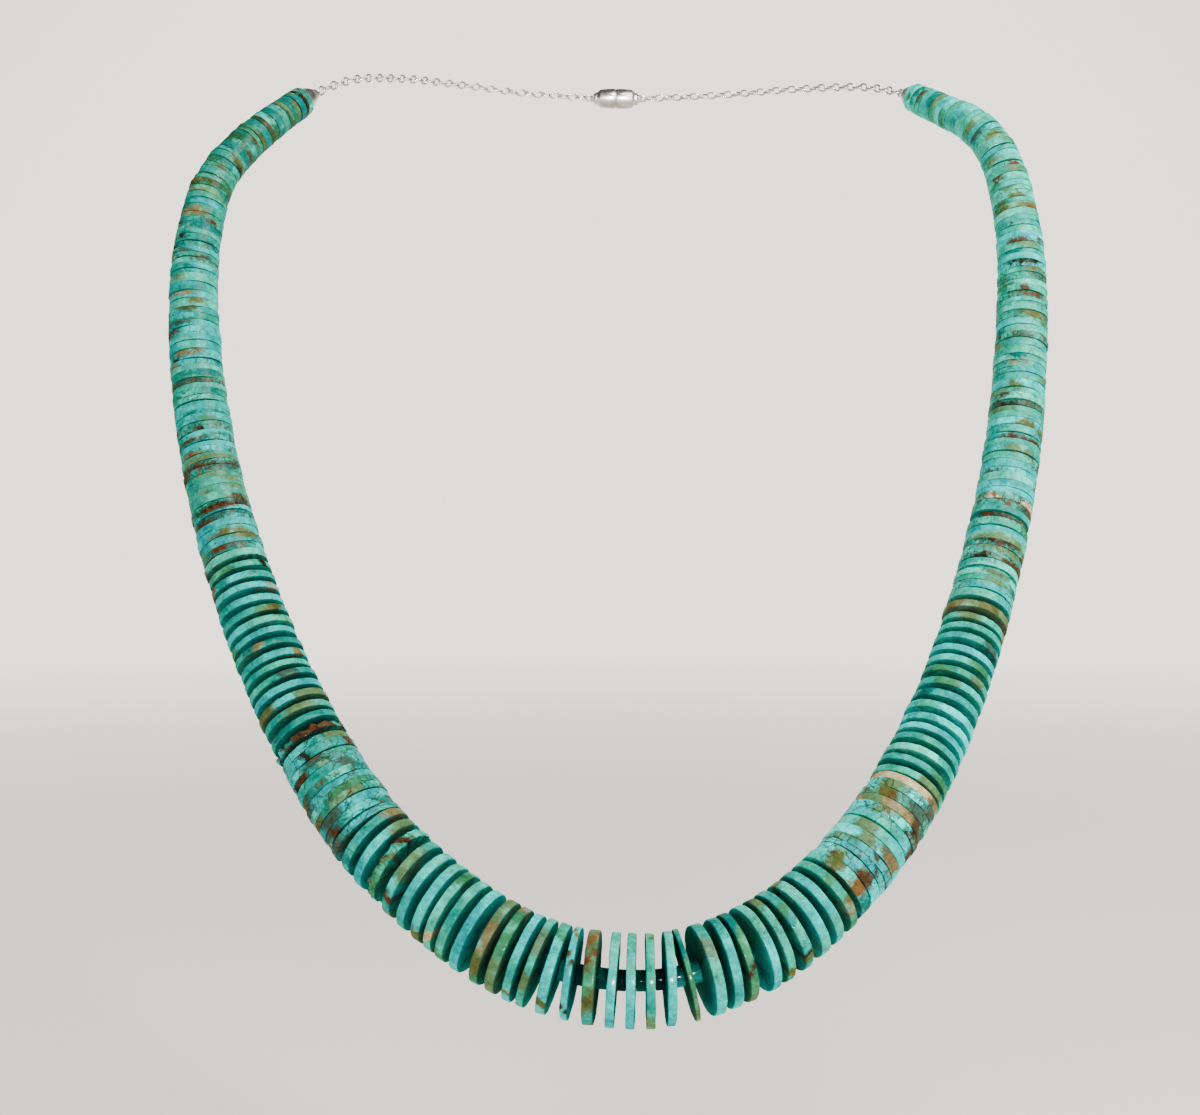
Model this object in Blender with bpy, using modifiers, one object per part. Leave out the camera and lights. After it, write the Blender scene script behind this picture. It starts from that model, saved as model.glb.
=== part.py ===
"""A graduated necklace of turquoise discs, in the shape that it takes when it is worn.

+Z is up, the wearer faces -Y, and +X is on the viewer's right. The origin is the inner side of the loop
at the nape. Left and right are the viewer's. Distances along the string are measured from the lowest disc:
positive up the right side, negative up the left side.
"""

import bisect
import math

import bpy
from mathutils import Matrix, Vector

MM = 0.001

# Route of the string
# The few chosen points of the closed loop, in millimetres: up the right side from the lowest disc,
# round the nape and down the left side.
ROUTE = [
    (0.6, -127.6, -155.7),
    (10.1, -127.2, -154.4),
    (21.5, -123.7, -149.7),
    (35.0, -115.7, -139.0),
    (47.1, -103.7, -123.1),
    (59.8, -86.0, -96.4),
    (66.6, -74.1, -70.0),
    (69.3, -63.4, -42.4),
    (66.2, -56.2, -25.3),
    (57.3, -44.7, -15.0),
    (50.0, -31.0, -8.0),
    (38.0, -16.0, -3.5),
    (21.0, -3.5, -1.0),
    (0.0, 2.0, 0.0),
    (-18.0, -3.0, -0.5),
    (-32.5, -15.5, -2.5),
    (-42.5, -32.0, -6.5),
    (-50.5, -49.0, -12.5),
    (-58.2, -62.2, -21.8),
    (-67.5, -73.0, -35.8),
    (-69.8, -77.3, -47.6),
    (-69.1, -82.3, -64.0),
    (-65.0, -88.5, -84.8),
    (-56.6, -97.9, -107.1),
    (-44.3, -109.5, -128.1),
    (-31.8, -118.4, -141.9),
    (-13.5, -125.9, -153.1),
]
NAPE = 13  # the route's point at the nape
CURVE_STEPS = 30  # finer points worked out between two of the route's points

# Driving sizes
DISC_DIAMETER = 12.5 * MM  # the largest disc, at the bottom
DISC_THICKNESS = 1.5 * MM
DISC_ROOM = 1.0 * MM  # the usual room between two front discs
RIM_ROUNDING = 0.25 * MM
BORE_DIAMETER = 1.4 * MM
THREAD_DIAMETER = 0.8 * MM
SPACER_DIAMETER = 3.1 * MM
SPACER_LENGTH = 1.2 * MM
SPACER_FILL = 0.7  # most of the room between two discs that a spacer may take
PIECE_GAP = 0.3 * MM
BLOCK_PITCH_LEFT = 1.3 * MM
BLOCK_PITCH_RIGHT = 1.56 * MM
MID_PITCH_LEFT = 2.0 * MM
MID_PITCH_RIGHT = 2.1 * MM
MID_THICKNESS = 1.35 * MM
UPPER_PITCH_LEFT = 1.2 * MM
UPPER_PITCH_RIGHT = 1.28 * MM
GROOVE_DEPTH = 0.45 * MM
CONE_LENGTH = 4.0 * MM
CONE_DIAMETER = 4.4 * MM
CONE_BULGE = 1.12  # how much fuller than a straight cone its middle is
CHAIN_DIAMETER = 2.2 * MM
CHAIN_STEP = 6.0 * MM
CLASP_LENGTH = 11.0 * MM
CLASP_DIAMETER = 4.0 * MM

# Counts
BLOCK_DISCS = 12
MID_DISCS = 16
UPPER_DISCS_LEFT = 80
UPPER_DISCS_RIGHT = 90
DISC_SIDES = 12
CONE_SIDES = 10
STRING_RESOLUTION = 3  # 10 sides
CHAIN_RESOLUTION = 2  # 8 sides

# The front discs, from left to right.
# Thickness is a share of DISC_THICKNESS, and room, which follows the disc, a share of DISC_ROOM. Lean is
# how far the disc's top tips to the right of square across the string, and turn is its turn about the
# vertical, both in degrees.
FRONT_DISCS = [
    # name, thickness, room, lean, turn, stone
    ("disc_01", 1.00, 0.93, -5, 0, "teal"),
    ("disc_02", 1.00, 1.00, -5, 0, "tan"),
    ("disc_03", 1.07, 1.25, -6, 0, "olive"),
    ("disc_04", 1.00, 1.17, -6, 0, "teal"),
    ("disc_05", 1.00, 1.04, -5, 0, "teal"),
    ("disc_06", 1.00, 0.60, -6, 0, "teal"),
    ("disc_07", 0.93, 0.66, -5, 0, "sea_green"),
    ("disc_08", 1.00, 0.86, -3, 0, "sea_green"),
    ("disc_09", 1.00, 1.31, -2, 0, "teal"),
    ("disc_10", 1.00, 0.77, -3, 0, "tan"),
    ("disc_11", 1.00, 0.80, -2, 0, "olive"),
    ("disc_12", 0.85, 0.62, -1, 0, "teal"),
    ("disc_13", 0.80, 1.02, 2, 0, "olive"),
    ("disc_14", 1.00, 1.13, 1, 0, "teal"),
    ("disc_15", 0.73, 1.28, -3, 0, "teal"),
    ("disc_16", 1.13, 1.32, -4, 0, "olive"),
    ("disc_17", 0.87, 1.10, 0, 0, "teal"),
    ("disc_18", 0.87, 1.19, 0, 0, "teal"),
    ("disc_19", 0.87, 1.19, 3, 0, "sea_green"),
    ("disc_20", 0.87, 1.30, 7, 0, "teal"),
    ("disc_21", 0.50, 1.50, -1, 0, "olive"),
    ("disc_22", 1.07, 0.90, 3, 4, "teal"),
    ("disc_23", 1.00, 0.55, 6, 1, "tan"),
    ("disc_24", 0.87, 1.50, 5, 1, "olive"),
    ("disc_25", 0.93, 0.80, 4, 3, "teal"),
    ("disc_26", 0.87, 1.10, 4, 1, "olive"),
    ("disc_27", 1.00, 1.08, 1, 0, "teal"),
    ("disc_28", 1.13, 0.85, 1, 0, "teal"),
    ("disc_29", 1.00, 1.05, 1, 0, "teal"),
    ("disc_30", 1.00, 0.00, 1, 0, "sea_green"),
]
LOWEST_DISC = [disc[0] for disc in FRONT_DISCS].index("disc_18")  # its row above, at distance 0

# How the strand thins towards the neck
# Each row is a share of the strand's length on that side, from the lowest disc, and the diameter there as
# a share of DISC_DIAMETER.
GRADING_LEFT = [
    (0.0, 1.0),
    (0.075, 0.976),
    (0.155, 0.94),
    (0.27, 0.888),
    (0.39, 0.832),
    (0.51, 0.776),
    (0.57, 0.736),
    (0.74, 0.648),
    (0.83, 0.584),
    (0.87, 0.53),
    (1.0, 0.42),
]
GRADING_RIGHT = [
    (0.0, 1.0),
    (0.095, 0.952),
    (0.185, 0.875),
    (0.285, 0.852),
    (0.42, 0.80),
    (0.60, 0.736),
    (0.715, 0.696),
    (0.83, 0.608),
    (1.0, 0.43),
]

# Colour, roughness and metallic value of each material
STONES = {
    "teal": (0.07, 0.33, 0.34, 0.35, 0.0),
    "sea_green": (0.20, 0.42, 0.33, 0.4, 0.0),
    "olive": (0.18, 0.21, 0.09, 0.45, 0.0),
    "tan": (0.38, 0.27, 0.14, 0.5, 0.0),
}
THREAD_LOOK = (0.05, 0.16, 0.15, 0.7, 0.0)
SILVER_LOOK = (0.62, 0.60, 0.56, 0.3, 1.0)


# The route as a smooth loop, and places along it
def smooth_loop(points, steps):
    """Points of a closed centripetal Catmull-Rom curve through the given points."""
    curve = []
    for i in range(len(points)):
        a, b, c, d = (points[(i + k) % len(points)] for k in (-1, 0, 1, 2))
        end_b = math.sqrt((b - a).length)
        end_c = end_b + math.sqrt((c - b).length)
        end_d = end_c + math.sqrt((d - c).length)
        for step in range(steps):
            t = end_b + (end_c - end_b) * step / steps
            ab = a + (b - a) * (t / end_b)
            bc = b + (c - b) * ((t - end_b) / (end_c - end_b))
            cd = c + (d - c) * ((t - end_c) / (end_d - end_c))
            abc = ab + (bc - ab) * (t / end_c)
            bcd = bc + (cd - bc) * ((t - end_b) / (end_d - end_b))
            curve.append(abc + (bcd - abc) * ((t - end_b) / (end_c - end_b)))
    return curve


LOOP = smooth_loop([Vector(point) * MM for point in ROUTE], CURVE_STEPS)
LOOP.append(LOOP[0])
LENGTHS = [0.0]
for start, end in zip(LOOP, LOOP[1:]):
    LENGTHS.append(LENGTHS[-1] + (end - start).length)
LOOP_LENGTH = LENGTHS[-1]


def point_at(distance):
    """The point of the loop at this distance from the lowest disc."""
    along = distance % LOOP_LENGTH
    i = min(bisect.bisect_right(LENGTHS, along), len(LENGTHS) - 1)
    share = (along - LENGTHS[i - 1]) / (LENGTHS[i] - LENGTHS[i - 1])
    return LOOP[i - 1].lerp(LOOP[i], share)


def direction_at(distance):
    """The direction of the string there, towards greater distances."""
    return (point_at(distance + MM) - point_at(distance - MM)).normalized()


# Where each stretch of the strand starts and ends
def front_places():
    """The middle of each front disc, as a distance along the string."""
    places = [0.0]
    for disc, following in zip(FRONT_DISCS, FRONT_DISCS[1:]):
        half_thicknesses = (disc[1] + following[1]) / 2 * DISC_THICKNESS
        places.append(places[-1] + half_thicknesses + disc[2] * DISC_ROOM)
    return [place - places[LOWEST_DISC] for place in places]


PLACES = front_places()
FRONT_END_LEFT = PLACES[0] - FRONT_DISCS[0][1] * DISC_THICKNESS / 2
FRONT_END_RIGHT = PLACES[-1] + FRONT_DISCS[-1][1] * DISC_THICKNESS / 2


def stretches(front_end, way, block_pitch, mid_pitch, upper_pitch, upper_discs):
    """Start of the block, middle and upper stretch and the strand's end, going away from the front discs."""
    block = front_end + way * 2 * PIECE_GAP
    middle = block + way * (BLOCK_DISCS * block_pitch + PIECE_GAP)
    upper = middle + way * (MID_DISCS * mid_pitch + PIECE_GAP)
    return block, middle, upper, upper + way * upper_discs * upper_pitch


LEFT = stretches(
    FRONT_END_LEFT, -1, BLOCK_PITCH_LEFT, MID_PITCH_LEFT, UPPER_PITCH_LEFT, UPPER_DISCS_LEFT
)
RIGHT = stretches(
    FRONT_END_RIGHT, 1, BLOCK_PITCH_RIGHT, MID_PITCH_RIGHT, UPPER_PITCH_RIGHT, UPPER_DISCS_RIGHT
)


def diameter_at(distance):
    """The disc diameter at this distance, read between the rows of the side's grading."""
    grading, strand_end = (GRADING_RIGHT, RIGHT[-1]) if distance > 0 else (GRADING_LEFT, LEFT[-1])
    share = min(distance / strand_end, 1.0)
    for (start, size), (end, next_size) in zip(grading, grading[1:]):
        if share <= end:
            return DISC_DIAMETER * (size + (next_size - size) * (share - start) / (end - start))
    return DISC_DIAMETER * grading[-1][1]


# Materials and the collection
def material(name, look):
    made = bpy.data.materials.new(name)
    made.use_nodes = True
    shader = made.node_tree.nodes["Principled BSDF"]
    shader.inputs["Base Color"].default_value = (*look[:3], 1.0)
    shader.inputs["Roughness"].default_value = look[3]
    shader.inputs["Metallic"].default_value = look[4]
    made.diffuse_color = (*look[:3], 1.0)
    return made


for old in list(bpy.data.objects):
    bpy.data.objects.remove(old)
NECKLACE = bpy.data.collections.new("Necklace")
bpy.context.scene.collection.children.link(NECKLACE)
STONE_MATERIALS = {name: material(name, look) for name, look in STONES.items()}
THREAD_MATERIAL = material("thread", THREAD_LOOK)
SILVER_MATERIAL = material("silver", SILVER_LOOK)


# Makers of turned pieces and of pieces that follow the string
def turned(name, profile, closed, sides, distance, lean, turn, finish):
    """A profile of (radius, height) turned about the string, with its height along the string."""
    mesh = bpy.data.meshes.new(name)
    corners = [(radius, 0.0, height) for radius, height in profile]
    edges = [(i, i + 1) for i in range(len(corners) - 1)]
    if closed:
        edges.append((len(corners) - 1, 0))
    mesh.from_pydata(corners, edges, [])
    mesh.materials.append(finish)
    piece = bpy.data.objects.new(name, mesh)
    NECKLACE.objects.link(piece)
    screw = piece.modifiers.new("Screw", "SCREW")
    screw.steps = screw.render_steps = sides
    screw.use_merge_vertices = True
    screw.merge_threshold = 0.01 * MM
    tip = Matrix.Rotation(math.radians(lean), 3, "Y") @ Matrix.Rotation(math.radians(turn), 3, "Z")
    piece.location = point_at(distance)
    piece.rotation_mode = "QUATERNION"
    piece.rotation_quaternion = (tip @ direction_at(distance)).to_track_quat("Z", "Y")
    return piece


def along_string(name, rings, resolution, finish):
    """A round body that follows the string, with a ring of its own radius at each (distance, radius)."""
    curve = bpy.data.curves.new(name, "CURVE")
    curve.dimensions = "3D"
    curve.bevel_depth = MM
    curve.bevel_resolution = resolution
    curve.use_fill_caps = True
    spline = curve.splines.new("POLY")
    spline.use_smooth = False
    spline.points.add(len(rings) - 1)
    for spot, (distance, radius) in zip(spline.points, rings):
        spot.co = (*point_at(distance), 1.0)
        spot.radius = radius / MM
    curve.materials.append(finish)
    piece = bpy.data.objects.new(name, curve)
    NECKLACE.objects.link(piece)
    return piece


# Front discs
# Each is a thick round slice with a small bore and a slightly rounded rim.
def front_disc(row, distance):
    name, thickness_share, _, lean, turn, stone = row
    half = thickness_share * DISC_THICKNESS / 2
    radius = diameter_at(distance) / 2
    bore = BORE_DIAMETER / 2
    profile = [
        (bore, half),
        (radius - RIM_ROUNDING, half),
        (radius, 0.0),
        (radius - RIM_ROUNDING, -half),
        (bore, -half),
    ]
    turned(name, profile, True, DISC_SIDES, distance, lean, turn, STONE_MATERIALS[stone])


for row, place in zip(FRONT_DISCS, PLACES):
    front_disc(row, place)


# Thread of the front discs
# It runs through their bores, and a small spacer bead sits on it in the room between two discs.
def thread_rings():
    rings = [(FRONT_END_LEFT - PIECE_GAP, THREAD_DIAMETER / 2)]
    for i in range(len(FRONT_DISCS) - 1):
        room_start = PLACES[i] + FRONT_DISCS[i][1] * DISC_THICKNESS / 2
        room_end = PLACES[i + 1] - FRONT_DISCS[i + 1][1] * DISC_THICKNESS / 2
        middle = (room_start + room_end) / 2
        half = min(SPACER_LENGTH, (room_end - room_start) * SPACER_FILL) / 2
        rings.append((middle - half, THREAD_DIAMETER / 2))
        rings.append((middle, SPACER_DIAMETER / 2))
        rings.append((middle + half, THREAD_DIAMETER / 2))
    rings.append((FRONT_END_RIGHT + PIECE_GAP, THREAD_DIAMETER / 2))
    return rings


along_string("thread_front", thread_rings(), STRING_RESOLUTION, THREAD_MATERIAL)


# Strings of small discs
# Each string is one body: the discs' rims, with a groove between two of them.
def tight_rings(start, way, discs, pitch):
    """Discs that touch: a rim in the middle of each disc and a shallow groove between two."""
    rings = []
    for i in range(discs):
        groove = start + way * i * pitch
        rim = groove + way * pitch / 2
        rings.append((groove, diameter_at(groove) / 2 - GROOVE_DEPTH))
        rings.append((rim, diameter_at(rim) / 2))
    end = start + way * discs * pitch
    rings.append((end, diameter_at(end) / 2 - GROOVE_DEPTH))
    return rings


def open_rings(start, way, discs, pitch):
    """Discs with room between them: both edges of each disc's rim, and the narrow core after it."""
    rings = []
    for i in range(discs):
        near_edge = start + way * i * pitch
        far_edge = near_edge + way * MID_THICKNESS
        rings.append((near_edge, diameter_at(near_edge) / 2))
        rings.append((far_edge, diameter_at(far_edge) / 2))
        if i < discs - 1:
            rings.append((near_edge + way * (MID_THICKNESS + pitch) / 2, SPACER_DIAMETER / 2))
    return rings


for side, way, starts, block_pitch, mid_pitch, upper_pitch, upper_discs in (
    ("left", -1, LEFT, BLOCK_PITCH_LEFT, MID_PITCH_LEFT, UPPER_PITCH_LEFT, UPPER_DISCS_LEFT),
    ("right", 1, RIGHT, BLOCK_PITCH_RIGHT, MID_PITCH_RIGHT, UPPER_PITCH_RIGHT, UPPER_DISCS_RIGHT),
):
    block, middle, upper, strand_end = starts
    strings = {
        "block": tight_rings(block, way, BLOCK_DISCS, block_pitch),
        "mid": open_rings(middle, way, MID_DISCS, mid_pitch),
        "upper": tight_rings(upper, way, upper_discs, upper_pitch),
    }
    for part, rings in strings.items():
        along_string(f"heishi_{side}_{part}", rings, STRING_RESOLUTION, STONE_MATERIALS["teal"])


# End cones
# A hollow silver cone covers each end of the strand, narrow end to the chain.
def end_cone(name, strand_end, way):
    middle = strand_end + way * (PIECE_GAP + CONE_LENGTH / 2)
    half = CONE_LENGTH / 2
    bore = THREAD_DIAMETER / 2
    wide = CONE_DIAMETER / 2
    narrow = CHAIN_DIAMETER / 2
    upper, lower = (narrow, wide) if way > 0 else (wide, narrow)
    belly = (upper + lower) / 2 * CONE_BULGE
    profile = [(bore, half), (upper, half), (belly, 0.0), (lower, -half), (bore, -half)]
    turned(name, profile, True, CONE_SIDES, middle, 0, 0, SILVER_MATERIAL)


end_cone("end_cone_left", LEFT[-1], -1)
end_cone("end_cone_right", RIGHT[-1], 1)

# Clasp
# A plain barrel at the nape, its ends drawn in to the chain's thickness.
NAPE_DISTANCE = LENGTHS[NAPE * CURVE_STEPS]
clasp_profile = [
    (0.0, CLASP_LENGTH * 0.5),
    (CHAIN_DIAMETER * 0.5, CLASP_LENGTH * 0.5),
    (CLASP_DIAMETER * 0.4, CLASP_LENGTH * 0.38),
    (CLASP_DIAMETER * 0.5, CLASP_LENGTH * 0.2),
    (CLASP_DIAMETER * 0.5, -CLASP_LENGTH * 0.2),
    (CLASP_DIAMETER * 0.4, -CLASP_LENGTH * 0.38),
    (CHAIN_DIAMETER * 0.5, -CLASP_LENGTH * 0.5),
    (0.0, -CLASP_LENGTH * 0.5),
]
turned("clasp", clasp_profile, False, CONE_SIDES, NAPE_DISTANCE, 0, 0, SILVER_MATERIAL)


# Chain
# A thin chain joins each cone to the clasp. Its outer form is a plain tube.
def chain(name, start, end):
    """A tube between two distances, with a point about every CHAIN_STEP."""
    steps = round(abs(end - start) / CHAIN_STEP)
    rings = [(start + (end - start) * i / steps, CHAIN_DIAMETER / 2) for i in range(steps + 1)]
    along_string(name, rings, CHAIN_RESOLUTION, SILVER_MATERIAL)


CONE_AND_GAPS = CONE_LENGTH + 2 * PIECE_GAP
CLASP_AND_GAP = CLASP_LENGTH / 2 + PIECE_GAP
chain("chain_right", RIGHT[-1] + CONE_AND_GAPS, NAPE_DISTANCE - CLASP_AND_GAP)
chain("chain_left", LEFT[-1] - CONE_AND_GAPS, NAPE_DISTANCE - LOOP_LENGTH + CLASP_AND_GAP)
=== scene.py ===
import bisect
import math
import random

import bmesh
import bpy
import numpy as np
from mathutils import Matrix, Vector


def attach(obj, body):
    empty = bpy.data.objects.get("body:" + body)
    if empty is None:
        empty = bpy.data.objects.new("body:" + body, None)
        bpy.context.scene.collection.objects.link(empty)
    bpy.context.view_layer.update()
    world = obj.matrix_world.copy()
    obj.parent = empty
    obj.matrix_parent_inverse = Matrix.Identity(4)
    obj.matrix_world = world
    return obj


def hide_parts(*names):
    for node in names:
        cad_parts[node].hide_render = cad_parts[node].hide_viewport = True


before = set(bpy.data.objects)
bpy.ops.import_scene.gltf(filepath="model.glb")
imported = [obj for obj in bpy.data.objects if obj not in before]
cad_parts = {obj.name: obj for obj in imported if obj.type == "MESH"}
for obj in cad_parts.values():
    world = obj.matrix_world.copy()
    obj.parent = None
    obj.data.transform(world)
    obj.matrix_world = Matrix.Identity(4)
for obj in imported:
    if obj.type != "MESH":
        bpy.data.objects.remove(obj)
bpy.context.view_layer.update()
bpy.ops.object.select_all(action="DESELECT")

# Thread
# One fine waxed bead thread carries every disc and hangs in the loop that a worn necklace makes. Its
# route is the one that the solids follow: from the lowest disc up the right side, round the nape and
# down the left side. It shows only between the front discs.
MM = 0.001
ROUTE = [
    (0.6, -127.6, -155.7),
    (10.1, -127.2, -154.4),
    (21.5, -123.7, -149.7),
    (35.0, -115.7, -139.0),
    (47.1, -103.7, -123.1),
    (59.8, -86.0, -96.4),
    (66.6, -74.1, -70.0),
    (69.3, -63.4, -42.4),
    (66.2, -56.2, -25.3),
    (57.3, -44.7, -15.0),
    (50.0, -31.0, -8.0),
    (38.0, -16.0, -3.5),
    (21.0, -3.5, -1.0),
    (0.0, 2.0, 0.0),
    (-18.0, -3.0, -0.5),
    (-32.5, -15.5, -2.5),
    (-42.5, -32.0, -6.5),
    (-50.5, -49.0, -12.5),
    (-58.2, -62.2, -21.8),
    (-67.5, -73.0, -35.8),
    (-69.8, -77.3, -47.6),
    (-69.1, -82.3, -64.0),
    (-65.0, -88.5, -84.8),
    (-56.6, -97.9, -107.1),
    (-44.3, -109.5, -128.1),
    (-31.8, -118.4, -141.9),
    (-13.5, -125.9, -153.1),
]
CURVE_STEPS = 30  # finer points worked out between two points of the route
THREAD_RADIUS = 0.4 * MM
THREAD_STOPS = 60


def smooth_loop(points, steps):
    """Points of a closed centripetal Catmull-Rom curve through the given points."""
    curve = []
    for i in range(len(points)):
        a, b, c, d = (points[(i + k) % len(points)] for k in (-1, 0, 1, 2))
        end_b = math.sqrt((b - a).length)
        end_c = end_b + math.sqrt((c - b).length)
        end_d = end_c + math.sqrt((d - c).length)
        for step in range(steps):
            t = end_b + (end_c - end_b) * step / steps
            ab = a + (b - a) * (t / end_b)
            bc = b + (c - b) * ((t - end_b) / (end_c - end_b))
            cd = c + (d - c) * ((t - end_c) / (end_d - end_c))
            abc = ab + (bc - ab) * (t / end_c)
            bcd = bc + (cd - bc) * ((t - end_b) / (end_d - end_b))
            curve.append(abc + (bcd - abc) * ((t - end_b) / (end_c - end_b)))
    return curve


loop = smooth_loop([Vector(point) * MM for point in ROUTE], CURVE_STEPS)
loop.append(loop[0])
loop_points = np.array(loop)
lengths = np.concatenate([[0.0], np.cumsum(np.linalg.norm(np.diff(loop_points, axis=0), axis=1))])
loop_length = lengths[-1]


def point_at(distance):
    """The point of the loop at this distance from the lowest disc."""
    along = distance % loop_length
    i = min(bisect.bisect_right(lengths, along), len(lengths) - 1)
    share = (along - lengths[i - 1]) / (lengths[i] - lengths[i - 1])
    return loop[i - 1].lerp(loop[i], share)


def corners_of(node):
    """The corners of a solid, each once."""
    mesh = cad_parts[node].data
    corners = np.empty(len(mesh.vertices) * 3)
    mesh.vertices.foreach_get("co", corners)
    return np.unique(np.round(corners.reshape(-1, 3), 7), axis=0)


def along_and_out(node):
    """How far along the string each corner of a solid lies, and how far out from its middle line."""
    corners = corners_of(node)
    apart = np.linalg.norm(corners[:, None, :] - loop_points[None, :-1, :], axis=2)
    nearest = apart.argmin(axis=1)
    along = lengths[nearest]
    along = np.where(along > loop_length / 2, along - loop_length, along)
    return along, apart.min(axis=1)


class Wire:
    """An output of a shader node. Arithmetic on it adds Math nodes to the same material."""

    def __init__(self, tree, socket):
        self.tree = tree
        self.socket = socket

    def node(self, kind, settings=None, inputs=None, output=0):
        made = self.tree.nodes.new(kind)
        for name, value in (settings or {}).items():
            setattr(made, name, value)
        for name, value in (inputs or {}).items():
            if isinstance(value, Wire):
                self.tree.links.new(value.socket, made.inputs[name])
            else:
                made.inputs[name].default_value = value
        return Wire(self.tree, made.outputs[output])

    def math(self, operation, first, second=0.0):
        return self.node("ShaderNodeMath", {"operation": operation}, {0: first, 1: second})

    def __add__(self, other):
        return self.math("ADD", self, other)

    def __sub__(self, other):
        return self.math("SUBTRACT", self, other)

    def __mul__(self, other):
        return self.math("MULTIPLY", self, other)

    __radd__ = __add__
    __rmul__ = __mul__

    def __rsub__(self, other):
        return self.math("SUBTRACT", other, self)

    def step(self, low, high):
        """0 below low, 1 above high and a soft slope between."""
        settings = {"interpolation_type": "SMOOTHSTEP"}
        return self.node("ShaderNodeMapRange", settings, {0: self, 1: low, 2: high})

    def tinted(self, under, over):
        """The colour under where this is 0, and over where it is 1."""
        return self.node("ShaderNodeMix", {"data_type": "RGBA"}, {0: self, 6: under, 7: over}, 2)

    def scaled(self, factor):
        """The colour times this factor."""
        return self.node("ShaderNodeVectorMath", {"operation": "SCALE"}, {0: self, 3: factor})

    def noise(self, scale, detail=3.0, roughness=0.55, distortion=0.0):
        settings = {"Scale": scale, "Detail": detail, "Roughness": roughness, "Distortion": distortion}
        return self.node("ShaderNodeTexNoise", None, {"Vector": self, **settings})

    def into(self, name):
        """Feeds the shader's socket of this name."""
        self.tree.links.new(self.socket, self.tree.nodes["Principled BSDF"].inputs[name])


def new_finish(name, roughness, metallic=0.0, colour=(0.5, 0.5, 0.5)):
    """A material and its object coordinates."""
    finish = bpy.data.materials.new(name)
    finish.use_nodes = True
    shader = finish.node_tree.nodes["Principled BSDF"]
    shader.inputs["Base Color"].default_value = (*colour, 1.0)
    shader.inputs["Roughness"].default_value = roughness
    shader.inputs["Metallic"].default_value = metallic
    coordinates = finish.node_tree.nodes.new("ShaderNodeTexCoord")
    return finish, Wire(finish.node_tree, coordinates.outputs["Object"])


thread_finish, place = new_finish("waxed thread", 0.7, colour=(0.02, 0.06, 0.055))
strands = place.noise(9000.0, 2.0)
place.node("ShaderNodeBump", None, {"Strength": 0.5, "Distance": 0.1 * MM, "Height": strands}).into("Normal")

thread_along, _ = along_and_out("thread_front")
thread_curve = bpy.data.curves.new("thread", "CURVE")
thread_curve.dimensions = "3D"
thread_curve.bevel_depth = THREAD_RADIUS
thread_curve.bevel_resolution = 3
thread_curve.use_fill_caps = True
thread_run = thread_curve.splines.new("POLY")
thread_stops = np.linspace(thread_along.min(), thread_along.max(), THREAD_STOPS)
thread_run.points.add(len(thread_stops) - 1)
for spot, distance in zip(thread_run.points, thread_stops):
    spot.co = (*point_at(distance), 1.0)
thread = bpy.data.objects.new("thread", thread_curve)
bpy.context.collection.objects.link(thread)
thread_curve.materials.append(thread_finish)
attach(thread, "root")

# Front discs
# The thirty largest discs are slices of turquoise, drilled, ground round by hand and polished, so no two
# have the same outline or colour. Each lies where its solid is. Many carry brown matrix or a tan patch.
STONE = {
    "cyan": (0.002, 0.53, 0.49),
    "blue": (0.001, 0.41, 0.42),
    "teal": (0.003, 0.35, 0.28),
    "deep": (0.002, 0.16, 0.14),
    "pale": (0.040, 0.54, 0.39),
    "sea": (0.010, 0.41, 0.28),
    "green": (0.035, 0.23, 0.10),
    "moss": (0.10, 0.21, 0.085),
    "sage": (0.10, 0.22, 0.12),
    "olive": (0.095, 0.115, 0.03),
    "tan": (0.17, 0.145, 0.06),
    "beige": (0.60, 0.50, 0.27),
    "bone": (0.29, 0.22, 0.115),
    "ochre": (0.17, 0.09, 0.025),
    "rust": (0.10, 0.032, 0.012),
    "grey": (0.045, 0.11, 0.08),
    "umber": (0.075, 0.046, 0.022),
    "brown": (0.020, 0.012, 0.006),
    "night": (0.002, 0.055, 0.064),
}
CLOUD = (0.02, 0.80, 0.62, 1.0)
PATCH_OUTLINE = (0.02, 0.03, 0.015, 1.0)
VEIN = (0.02, 0.014, 0.008, 1.0)
IRON_STAIN = (0.10, 0.045, 0.012, 1.0)
PIT = (0.02, 0.02, 0.012, 1.0)
SEAM_DIRT = (0.035, 0.030, 0.014, 1.0)
# the colour of the painted shade on the flat faces, which lie in shade between two discs
PAINTED_FACE_SHADE = (0.004, 0.068, 0.060, 1.0)
FRONT_DISCS = [f"disc_{number:02d}" for number in range(1, 31)]
FRONT = Vector((0.0, -1.0, 0.0))  # the way that the wearer faces


def fitted(node):
    """The axis, middle, radius and thickness of a round solid, worked out from its corners."""
    corners = corners_of(node)
    middle = corners.mean(axis=0)
    axis = Vector(np.linalg.svd(corners - middle)[2][2])
    axis = axis if axis.x > 0 else -axis
    heights = (corners - middle) @ np.array(axis)
    spokes = corners - middle - np.outer(heights, np.array(axis))
    return axis, Vector(middle), np.linalg.norm(spokes, axis=1).max(), np.ptp(heights)


def square_to(axis, middle):
    """Places a bead there: Z along the string, X to the inside of the loop and Y to the front."""
    front = (FRONT - axis * FRONT.dot(axis)).normalized()
    inner = front.cross(axis)
    return Matrix.Translation(middle) @ Matrix((inner, front, axis)).transposed().to_4x4()


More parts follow.
